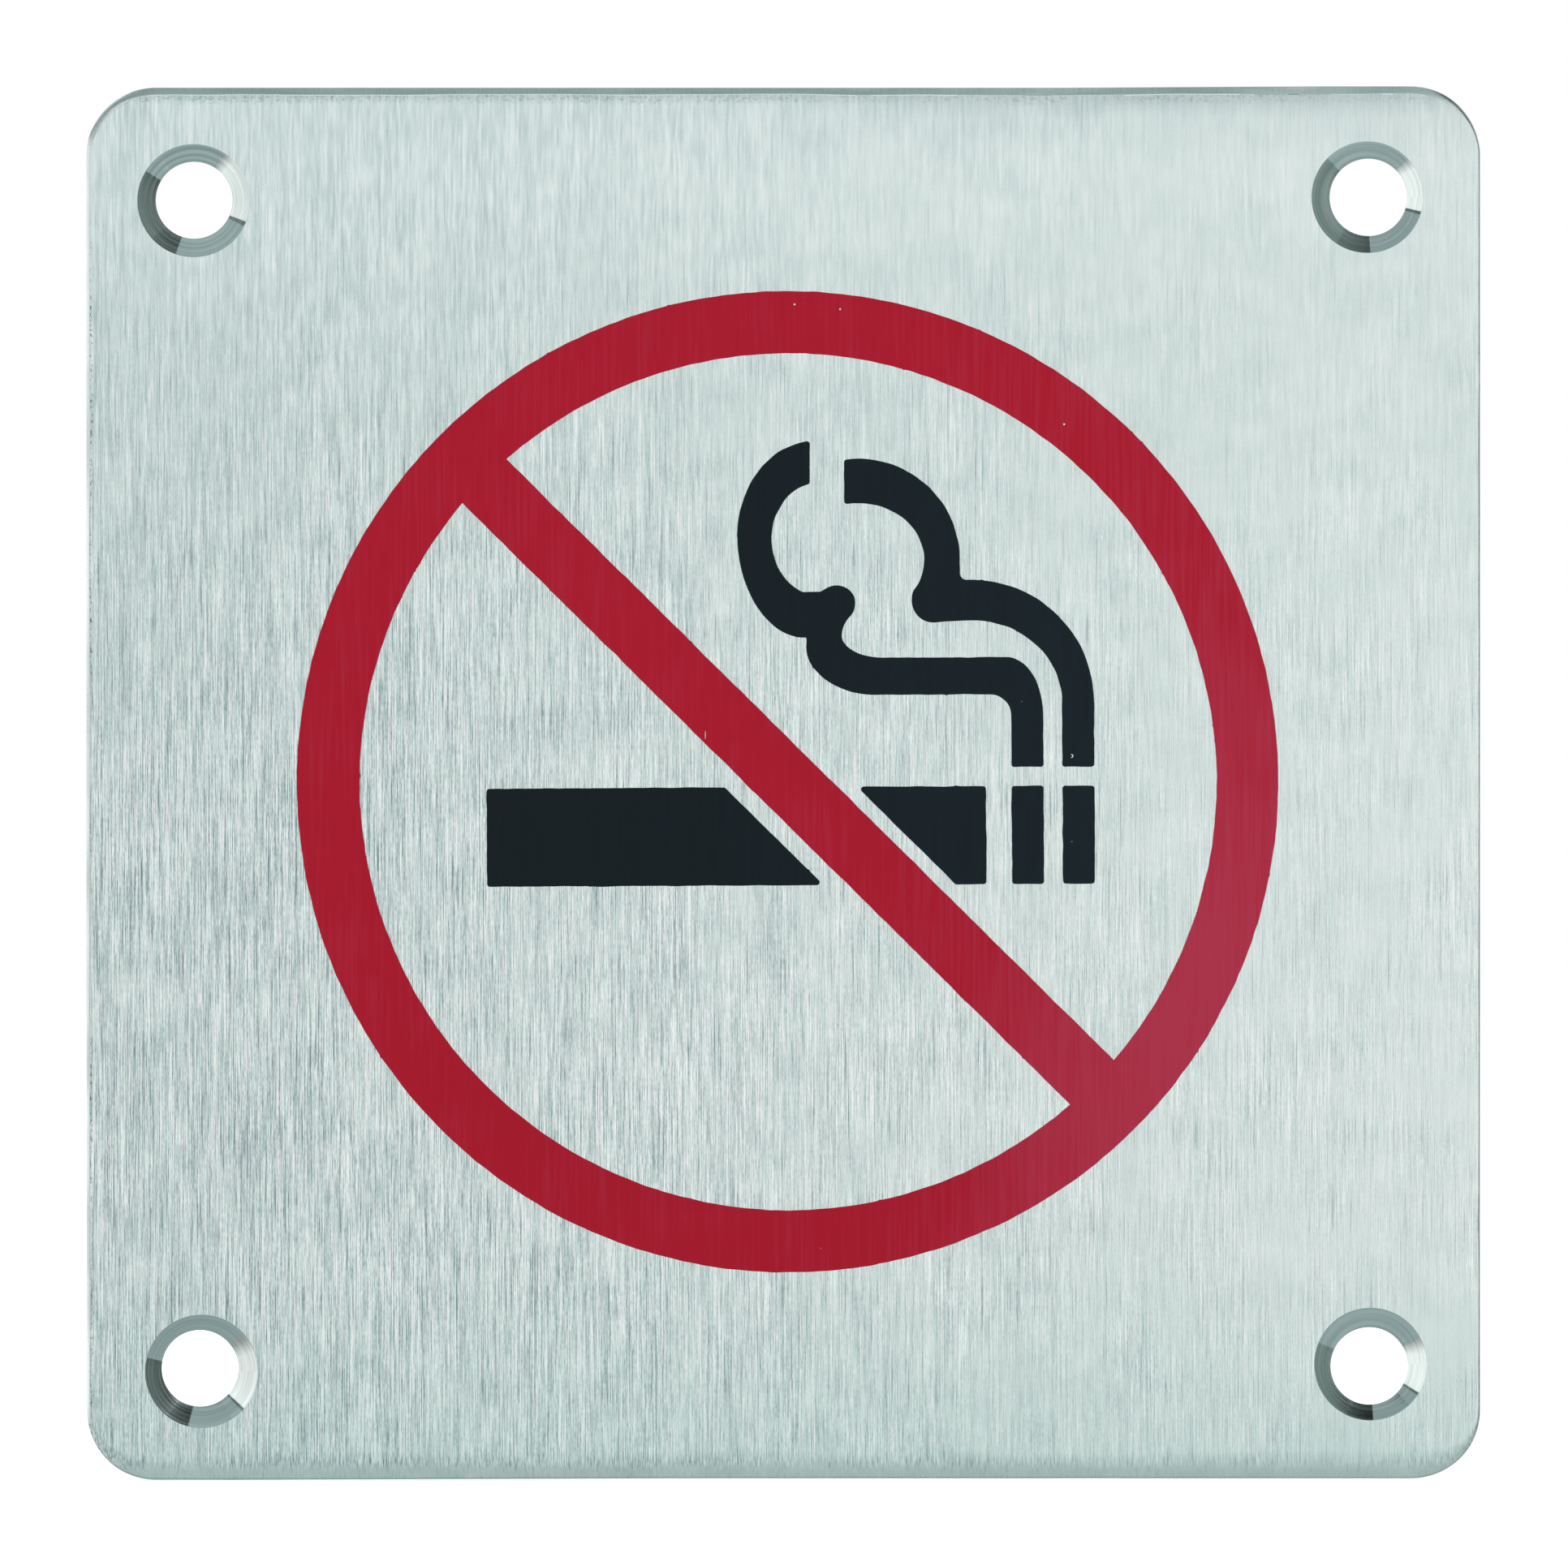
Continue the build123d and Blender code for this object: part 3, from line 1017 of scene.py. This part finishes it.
    def add_hole(
        self, draft: MeshDraft, hole: ScrewHole, rng: np.random.Generator
    ) -> list[np.ndarray]:
        """Adds one countersunk hole.

        Args:
            draft: The mesh so far.
            hole: The hole's sizes.
            rng: Where the random numbers come from.

        Returns:
            The rings that bound the face and the back.
        """
        turn = np.linspace(0, 2 * math.pi, self.hole_points, endpoint=False)
        east, north = np.cos(turn), np.sin(turn)
        sink, bore = hole.sink_diameter / 2, hole.bore_diameter / 2
        # Where a ray from the middle of the cone meets the bore, which sits off that middle
        reach = hole.bore_shift_x * east + hole.bore_shift_z * north
        off = hole.bore_shift_x**2 + hole.bore_shift_z**2
        bore_edge = reach + np.sqrt(bore**2 - off + reach**2)
        along = np.linspace(0, 2 * math.pi * sink, self.hole_points + 1)

        def place(radius: np.ndarray | float, sunk: np.ndarray | float) -> np.ndarray:
            """Adds a ring about the middle of the cone."""
            return draft.ring(hole.x + radius * east, hole.z + radius * north, sunk)

        rings = [place(sink + self.hole_margin, 0.0), place(sink + self.rim_break, 0.0)]
        # Each hole has rings of its own, so the distances start elsewhere at each
        start = rng.uniform(0, 40)
        lip, cone_start = self.rim_travel
        travel: list[np.ndarray | float] = [start, start + lip]
        slots = [Surface.FACE]
        for row in range(self.cone_rows + 1):
            t = row / self.cone_rows
            radius = sink + (bore_edge - sink) * t
            wave = np.sin(rng.integers(1, 4) * turn + rng.uniform(0, 6.3))
            beat = 1 - self.groove_beat + self.groove_beat * wave
            groove = hole.groove * rng.standard_normal() * beat
            if row in (0, self.cone_rows):
                groove = 0.0
            slope = hole.slope + self.cone_bow * (1 - t)
            sunk = self.rim_break + (sink - radius) * slope + groove
            rings.append(place(radius, sunk))
            down = (sink - radius) / math.cos(math.atan(hole.slope))
            travel.append(start + cone_start + down)
            slots.append(Surface.EDGE if row == 0 else Surface.COUNTERSINK)
        out = self.bore_break
        rings.append(place(bore_edge, PLATE_THICKNESS - out))
        rings.append(place(bore_edge + out, PLATE_THICKNESS))
        rings.append(place(bore_edge + 2 * out, PLATE_THICKNESS))
        for extra in self.bore_travel:
            travel.append(travel[-1] + extra)
        slots += [Surface.COUNTERSINK, Surface.EDGE, Surface.BACK]
        for i, slot in enumerate(slots):
            draft.band(rings[i], rings[i + 1], (travel[i], travel[i + 1]), along, slot.value)
        return [rings[0], rings[-1]]

    def build(self) -> bpy.types.Object:
        """Builds and dresses the plate, which stands for the CAD's."""
        rng = np.random.default_rng(self.seed)
        draft = MeshDraft()
        bounds = [self.add_rim(draft, rng)]
        bounds += [self.add_hole(draft, hole, rng) for hole in self.holes]
        draft.fill([front for front, _ in bounds], Surface.FACE.value)
        draft.fill([back for _, back in bounds], Surface.BACK.value)
        finishes = {
            Surface.FACE: BrushedStainless(),
            Surface.EDGE: BLANKED_EDGE,
            Surface.COUNTERSINK: TURNED_STAINLESS,
            Surface.BACK: MILL_FINISH_STAINLESS,
        }
        piece = draft.build("brushed_plate", [finishes[s].make() for s in Surface])
        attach(piece, "root")
        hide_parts("plate")
        return piece


@dataclass(frozen=True)
class Pinhole:
    """A spot that the ink missed, where the metal shows.

    A bite of 0 is a round spot, and a larger one leaves a crescent that opens to the left.
    """

    x: float
    z: float
    radius: float
    stretch: float = 1.0
    bite: float = 0.0

    def points(self, count: int = 20) -> np.ndarray:
        """Draws the spot clockwise, so that the ink lies on the left.

        Args:
            count: How many points it has.

        Returns:
            Its points.
        """
        if not self.bite:
            turn = np.linspace(0, -2 * math.pi, count, endpoint=False)
            x, z = np.cos(turn), np.sin(turn) * self.stretch
        else:
            # Out along the outer arc, and back along a smaller one that sits a little to the left
            half, outer_turn, inner_turn, offset = count // 2, 2.0, 1.75, 0.12
            out = np.linspace(outer_turn, -outer_turn, half)
            back = np.linspace(-inner_turn, inner_turn, half)
            inner = 1 - self.bite
            x = np.concatenate([np.cos(out), inner * np.cos(back) - offset])
            z = np.concatenate([np.sin(out), inner * np.sin(back)])
        return np.column_stack([self.x + self.radius * x, self.z + self.radius * z])


@dataclass
class PrintedFilm:
    """One colour of the screen print: films that lie on the plate, with a bead at their edges.

    The outline is the CAD film's own. The mesh of the screen leaves it saw-toothed, most of all
    where it runs upright, and the wet ink leaves it slightly uneven.
    """

    node: str
    name: str
    slot: str
    finish: ScreenInk
    pinholes: tuple[Pinhole, ...] = ()
    thickness: float = 0.05
    bedded: float = 0.002
    step: float = 0.055
    fewest_points: int = 24
    corner_softness: float = 0.045
    thread_pitch: float = 0.158
    tooth: float = 0.028
    tooth_reach: float = 1.5
    tooth_mean: float = 0.75
    tooth_spread: float = 0.35
    # How strong the teeth are where the edge lies level, as a share of those where it is upright
    lying: float = 0.3
    wander: float = 0.011
    wander_reach: float = 0.32
    nub: float = 0.06
    nub_spacing: float = 26.0
    nub_heights: tuple[float, float] = (0.4, 1.0)
    nub_widths: tuple[float, float] = (0.04, 0.09)
    pinhole_bead: float = 0.25
    # How far the ink crept out past the stencil, and how far right its openings are let in
    creep: float = 0.0
    opening_slip: float = 0.0
    # Each row of the bead: how far in from the edge, and how high as a share of the thickness
    bead: Pairs = ((0.0, 0.62), (0.014, 0.9), (0.05, 1.0), (0.1, 0.95), (0.16, 0.86))
    seed: int = 7

    def cad_loops(self) -> list[np.ndarray]:
        """Reads the outline from the front of the CAD film.

        Returns:
            Its loops in millimetres, across and up, each with the ink on its left.
        """
        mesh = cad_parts[self.node].data
        key = [(round(v.co.x / MM, 4), round(v.co.z / MM, 4)) for v in mesh.vertices]
        edges = set()
        for face in mesh.polygons:
            if face.normal.y < -0.9:
                corners = [key[i] for i in face.vertices]
                edges.update(zip(corners, corners[1:] + corners[:1]))
        onward = {a: b for a, b in edges if (b, a) not in edges}
        loops = []
        while onward:
            start = min(onward)
            loop, here = [], start
            while here in onward:
                loop.append(here)
                here = onward.pop(here)
            loops.append(np.array(loop))
        return loops

    def resample(self, loop: np.ndarray) -> tuple[np.ndarray, np.ndarray]:
        """Spaces a loop's points evenly and softens its corners as wet ink does.

        Args:
            loop: The loop's points.

        Returns:
            Even points, and the direction into the ink at each one.
        """
        closed = np.vstack([loop, loop[:1]])
        lengths = np.linalg.norm(np.diff(closed, axis=0), axis=1)
        walked = np.concatenate([[0.0], np.cumsum(lengths)])
        count = max(self.fewest_points, round(walked[-1] / self.step))
        at = np.linspace(0, walked[-1], count, endpoint=False)
        even = (np.interp(at, walked, closed[:, i]) for i in (0, 1))
        soft = np.column_stack(
            [smooth_round(values, self.step, self.corner_softness) for values in even]
        )
        return soft, left_of(soft)

    def ragged(
        self, points: np.ndarray, inward: np.ndarray, rng: np.random.Generator
    ) -> np.ndarray:
        """Makes an outline uneven in the way that a screen does.

        Args:
            points: The even outline.
            inward: The direction into the ink at each point.
            rng: Where the random numbers come from.

        Returns:
            The uneven outline.
        """
        count = len(points)
        walked = np.arange(count) * self.step
        teeth = max(1, round(count * self.step / self.thread_pitch))
        phase = teeth * np.arange(count) / count
        saw = np.abs(2 * (phase % 1) - 1) * 2 - 1
        upright = np.abs(inward[:, 0])
        noise = periodic_noise(rng, count, self.step, self.tooth_reach)
        strength = self.tooth_mean + self.tooth_spread * noise
        move = self.tooth * saw * strength * (self.lying + (1 - self.lying) * upright)
        move += self.wander * periodic_noise(rng, count, self.step, self.wander_reach)
        move -= self.creep
        for _ in range(int(count * self.step / self.nub_spacing)):
            away = np.abs(walked - rng.uniform(0, walked[-1]))
            away = np.minimum(away, walked[-1] - away)
            height = self.nub * rng.uniform(*self.nub_heights)
            move -= height * np.exp(-0.5 * (away / rng.uniform(*self.nub_widths)) ** 2)
        return points + move[:, None] * inward

    def build(self) -> bpy.types.Object:
        """Builds and dresses the film, which stands for the CAD's."""
        rng = np.random.default_rng(self.seed)
        draft = MeshDraft()
        tops, feet, areas, edges = [], [], [], []
        for loop in self.cad_loops():
            even, inward = self.resample(loop)
            if area_of(even) < 0:
                even[:, 0] += self.opening_slip
            edges.append((self.ragged(even, inward, rng), inward, 1.0))
        for pinhole in self.pinholes:
            spot = pinhole.points()
            edges.append((spot, left_of(spot), self.pinhole_bead))
        for edge, inward, share in edges:
            areas.append(area_of(edge))
            along = np.zeros(len(edge) + 1)
            ring = draft.ring(*edge.T, self.bedded)
            feet.append(ring)
            for reach, height in self.bead:
                place = edge + reach * share * inward
                above = draft.ring(*place.T, -height * self.thickness)
                draft.band(ring, above, (0.0, 0.0), along)
                ring = above
            tops.append(ring)
        for i, area in enumerate(areas):
            if area > 0:
                inside = [j for j in range(len(edges)) if self.holds(edges, areas, i, j)]
                draft.fill([tops[i]] + [tops[j] for j in inside])
                draft.fill([feet[i]] + [feet[j] for j in inside])
        piece = draft.build(self.name, [self.finish.make()])
        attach(piece, "root")
        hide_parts(self.node)
        return piece

    @staticmethod
    def holds(edges: list, areas: list[float], outer: int, inner: int) -> bool:
        """Says whether one loop is a hole in another.

        Args:
            edges: The loops, with their directions and shares.
            areas: Their areas, which are negative for holes.
            outer: The number of the loop round the ink.
            inner: The number of the loop that may be a hole in it.

        Returns:
            True if it is.
        """
        if areas[inner] >= 0:
            return False
        x, z = edges[inner][0][0]
        ring = edges[outer][0]
        after = np.roll(ring, -1, axis=0)
        spans = (ring[:, 1] > z) != (after[:, 1] > z)
        start, run = ring[spans], (after - ring)[spans]
        cross = start[:, 0] + (z - start[:, 1]) / run[:, 1] * run[:, 0]
        return int(np.sum(cross > x)) % 2 == 1


@dataclass(frozen=True)
class Card:
    """A sheet of card beside the sign, seen only in its metal's reflections.

    corners are its four corners in millimetres. Its brightness is a multiple of its colour, and
    changes evenly with the place along each axis that slopes names, by so much in a millimetre,
    between the least and the most.
    """

    name: str
    corners: tuple[tuple[float, float, float], ...]
    colour: str = "#FFFFFF"
    level: float = 1.0
    slopes: tuple[tuple[str, float], ...] = ()
    least: float = 0.0
    most: float = 10.0

    def build(self) -> bpy.types.Object:
        """Makes the card, which is part of the stage."""
        material, tree = new_material(self.name)
        place = place_in_row(tree)
        slopes = [(place.outputs[axis], slope / MM) for axis, slope in self.slopes]
        level = summed(tree, self.level, slopes)
        level = {"Value": level, "Min": self.least, "Max": self.most}
        level = add_node(tree, "Clamp", level)
        glow = {"Color": linear(self.colour), "Strength": level}
        glow = add_node(tree, "Emission", glow)
        add_node(tree, "OutputMaterial", {"Surface": glow})
        card = new_sheet(self.name, self.corners, material)
        for kind in ("camera", "diffuse", "shadow", "transmission"):
            setattr(card, "visible_" + kind, False)
        return card


@dataclass(frozen=True)
class Lamp:
    """A soft square lamp, aimed at the middle of the sign.

    Its place and its side are in metres, and its power is in watts.
    """

    name: str
    place: tuple[float, float, float]
    side: float
    power: float

    def build(self) -> bpy.types.Object:
        """Makes the lamp."""
        data = bpy.data.lights.new(self.name, "AREA")
        data.shape = "SQUARE"
        data.size = self.side
        data.energy = self.power
        lamp = new_object(self.name, data)
        lamp.location = self.place
        away = lamp.location.normalized()
        lamp.rotation_euler = away.to_track_quat("Z", "Y").to_euler()
        # The cards are what the metal mirrors, so the lamps themselves don't show in it
        lamp.visible_glossy = False
        return lamp


@dataclass
class Studio:
    """The pale floor, the white surroundings, the lamps, the cards and the camera."""

    floor_level: float = -50.05
    floor_side: float = 6000.0
    floor_colour: str = "#D9D9D9"
    floor_glow: Fade = Fade("Y", (100, 800), (0.55, 1.0), smooth=False)
    fill_light: float = 0.5
    lamps: tuple[Lamp, ...] = (
        Lamp("key lamp", (-0.5, -0.95, 0.9), side=0.7, power=9.0),
        Lamp("fill lamp", (0.8, -0.9, 0.5), side=0.8, power=4.0),
        Lamp("back lamp", (0.2, 1.0, 1.0), side=0.9, power=6.0),
    )
    camera_distance: float = 1500.0
    frame_width: float = 112.47
    aim_x: float = 0.047
    aim_z: float = 0.012
    sensor: float = 36.0
    sight: float = 50000.0

    def cards(self) -> list[Card]:
        """Lists the cards that give the holes and edges their light and dark.

        A bright card stands at the left with a dark strip on top of it and a pale card before
        it, dark ones from the upper right round to the right, and grey ones above and below. In
        front hang three white cards, one over another and each brighter towards the right, and
        a greyer one under them.

        Returns:
            The cards.
        """
        near, far = -150.0, 60.0
        left, right, top, bottom = -280.0, 220.0, 300.0, -300.0
        lens, below, wide = -450, -200, 340
        grey, dark = {"colour": "#A6B3B4"}, {"colour": "#717C7A"}
        bright = {"colour": "#FFF9F9", "front": -110}
        pale = {"front": -330, "back": near}

        def side(
            name: str,
            low: tuple[float, float],
            high: tuple[float, float],
            front: float = near,
            back: float = far,
            **look: Any,
        ) -> Card:
            """A card that stands at one side, from one point to another across and up."""
            corners = [(x, y, z) for x, z in (low, high) for y in (front, back)]
            return Card(name, (corners[0], corners[1], corners[3], corners[2]), **look)

        def lid(
            name: str, z: float, start: float, end: float, front: float, back: float, **look: Any
        ) -> Card:
            """A card that lies above or below."""
            corners = ((start, front, z), (end, front, z), (end, back, z), (start, back, z))
            return Card(name, corners, **look)

        def front(name: str, y: float, low: float, high: float, **look: Any) -> Card:
            """A card that hangs in front."""
            corners = ((-wide, y, low), (wide, y, low), (wide, y, high), (-wide, y, high))
            return Card(name, corners, **look)

        def shade(level: float, least: float = 0.0, most: float = 10.0, **slopes: float) -> dict:
            """How bright a card is: its level, limits, and slopes along the axes."""
            return {"level": level, "least": least, "most": most, "slopes": tuple(slopes.items())}

        fading = shade(0.82, most=1.5, Y=-0.008)
        soft = shade(0.82 + 106 * 0.013, 0.45, 1.5, Y=-0.008, Z=0.013)
        pale_look = {**pale, **shade(0.74, 0.55, 0.95, Z=0.0023)}
        beside = shade(2.9, 0.2, 1.45, Z=0.0005, Y=0.03)
        over = shade(0.9, 0.02, 1.3, X=0.0034, Y=0.014)
        white = shade(0.99, X=0.0021, Z=-0.0004)
        whiter = shade(1.07, X=0.0009)
        tilted = shade(0.93, X=0.0026)
        under = shade(0.9 + 50 * 0.0045, 0.66, X=0.0012, Z=0.0045)
        return [
            side("bright card", (-206, -106), (-262, 134), **fading, **bright),
            side("soft end of the bright card", (-190, -176), (-206, -106), **soft, **bright),
            side("dark strip", (-262, 134), (-264, 157), colour="#66746F"),
            side("grey card above the bright one", (-264, 157), (left, top), **grey),
            side("grey card below the bright one", (left, bottom), (-190, -176), **grey),
            side("pale card in front of the bright one", (left, -150), (left, 134), **pale_look),
            side("grey card over the pale one", (left, 134), (left, top), **grey, **pale),
            side("dark card", (right, -118), (right, top), **beside, **dark),
            side("grey card below the dark one", (right, bottom), (right, -118), **grey),
            lid("grey card overhead", top, left, 35, near, far, **grey),
            lid("grey card over the front", top, left, right, bottom, near, **tilted, **grey),
            lid("dark card overhead", top, 35, right, near, far, **over, **dark),
            lid("grey card underneath", bottom, left, right, bottom, far, **grey),
            front("white card behind the lens", lens, -60, 36, **white),
            front("less white strip", lens, 36, 52, **shade(0.945, X=0.0018)),
            front("whiter card above the lens", lens, 52, wide, colour="#FFFCFE", **whiter),
            front("grey card under the lens", below, -wide, -50, colour="#F0FFFD", **under),
        ]

    @staticmethod
    def looked_at(tree: Tree) -> Node:
        """Adds a value that is 1 for what is seen, mirrored or seen through, and 0 for light."""
        path = add_node(tree, "LightPath").outputs
        seen = {0: path["Is Camera Ray"], 1: path["Is Glossy Ray"]}
        seen = add_node(tree, "Math", seen, operation="MAXIMUM")
        seen = {0: seen, 1: path["Is Transmission Ray"]}
        return add_node(tree, "Math", seen, operation="MAXIMUM")

    def add_floor(self) -> None:
        """Adds the pale floor, which the camera sees as white except for the sign's shadow."""
        material, tree = new_material("pale studio floor")
        # Far behind the sign, where the lamps don't reach, the floor glows like the surroundings
        far = self.floor_glow.add(tree, place_in_row(tree))
        lift = {0: self.looked_at(tree), 1: far}
        lift = add_node(tree, "Math", lift, operation="MULTIPLY")
        glow = add_node(tree, "Emission", {"Strength": lift})
        paint = add_node(tree, "BsdfDiffuse", {"Color": linear(self.floor_colour)})
        both = add_node(tree, "AddShader", {0: glow, 1: paint})
        add_node(tree, "OutputMaterial", {"Surface": both})
        half = self.floor_side / 2
        corners = [(-half, -half), (half, -half), (half, half), (-half, half)]
        floor = new_sheet("floor", [(x, y, self.floor_level) for x, y in corners], material)
        # The cards reach below it, and the metal mirrors those
        floor.visible_glossy = False

    def add_world(self) -> None:
        """Adds the surroundings: white to the eye and in the metal, softer as a light."""
        world = bpy.data.worlds.new("white studio")
        world.use_nodes = True
        tree = world.node_tree
        tree.nodes.clear()
        strength = {"Value": self.looked_at(tree), "To Min": self.fill_light}
        strength = add_node(tree, "MapRange", strength)
        sky = {"Color": linear("#FFFFFF"), "Strength": strength}
        sky = add_node(tree, "Background", sky)
        add_node(tree, "OutputWorld", {"Surface": sky})
        bpy.context.scene.world = world

    def add_camera(self) -> None:
        """Adds the camera: straight in front, with a long lens, as in the photograph."""
        data = bpy.data.cameras.new("camera")
        data.sensor_width = self.sensor
        data.lens = self.sensor * self.camera_distance / self.frame_width
        data.clip_end = self.sight * MM
        camera = new_object("camera", data)
        place = (self.aim_x, FACE_Y - self.camera_distance, self.aim_z)
        camera.location = [value * MM for value in place]
        camera.rotation_euler = (math.radians(90), 0.0, 0.0)
        bpy.context.scene.camera = camera

    def build(self) -> None:
        """Builds the whole studio."""
        self.add_floor()
        self.add_world()
        for lamp in self.lamps:
            lamp.build()
        for card in self.cards():
            card.build()
        self.add_camera()


@dataclass
class Sign:
    """The whole sign: the plate and its three printed films."""

    plate: Plate = field(default_factory=Plate)
    films: tuple[PrintedFilm, ...] = (
        PrintedFilm(
            node="ring_and_slash",
            name="red_ring_and_slash",
            slot="red_ink",
            finish=RED_INK,
            pinholes=(
                Pinhole(0.8, 34.35, 0.07),
                Pinhole(4.07, 34.0, 0.06, stretch=1.3),
                Pinhole(20.14, 25.75, 0.07),
                Pinhole(-5.6, 3.45, 0.035, stretch=9.0),
            ),
            creep=0.037,
            opening_slip=0.05,
            seed=7,
        ),
        PrintedFilm(
            node="cigarette",
            name="black_cigarette",
            slot="black_ink",
            finish=BLACK_INK,
            seed=19,
        ),
        PrintedFilm(
            node="smoke",
            name="black_smoke",
            slot="black_ink",
            finish=BLACK_INK,
            pinholes=(Pinhole(20.68, 1.95, 0.13, bite=0.42),),
            seed=29,
        ),
    )

    def build(self) -> list[bpy.types.Object]:
        """Builds every piece, in order."""
        return [self.plate.build()] + [film.build() for film in self.films]


def main() -> None:
    """Builds the sign and its studio, and logs each piece's number of faces."""
    logging.basicConfig(level=logging.INFO, format="%(name)s: %(message)s")
    Studio().build()
    for piece in Sign().build():
        log.info("%s: %d faces", piece.name, len(piece.data.polygons))
    bpy.context.scene.view_settings.view_transform = "Standard"
    bpy.context.view_layer.update()


if __name__ == "__main__":
    main()
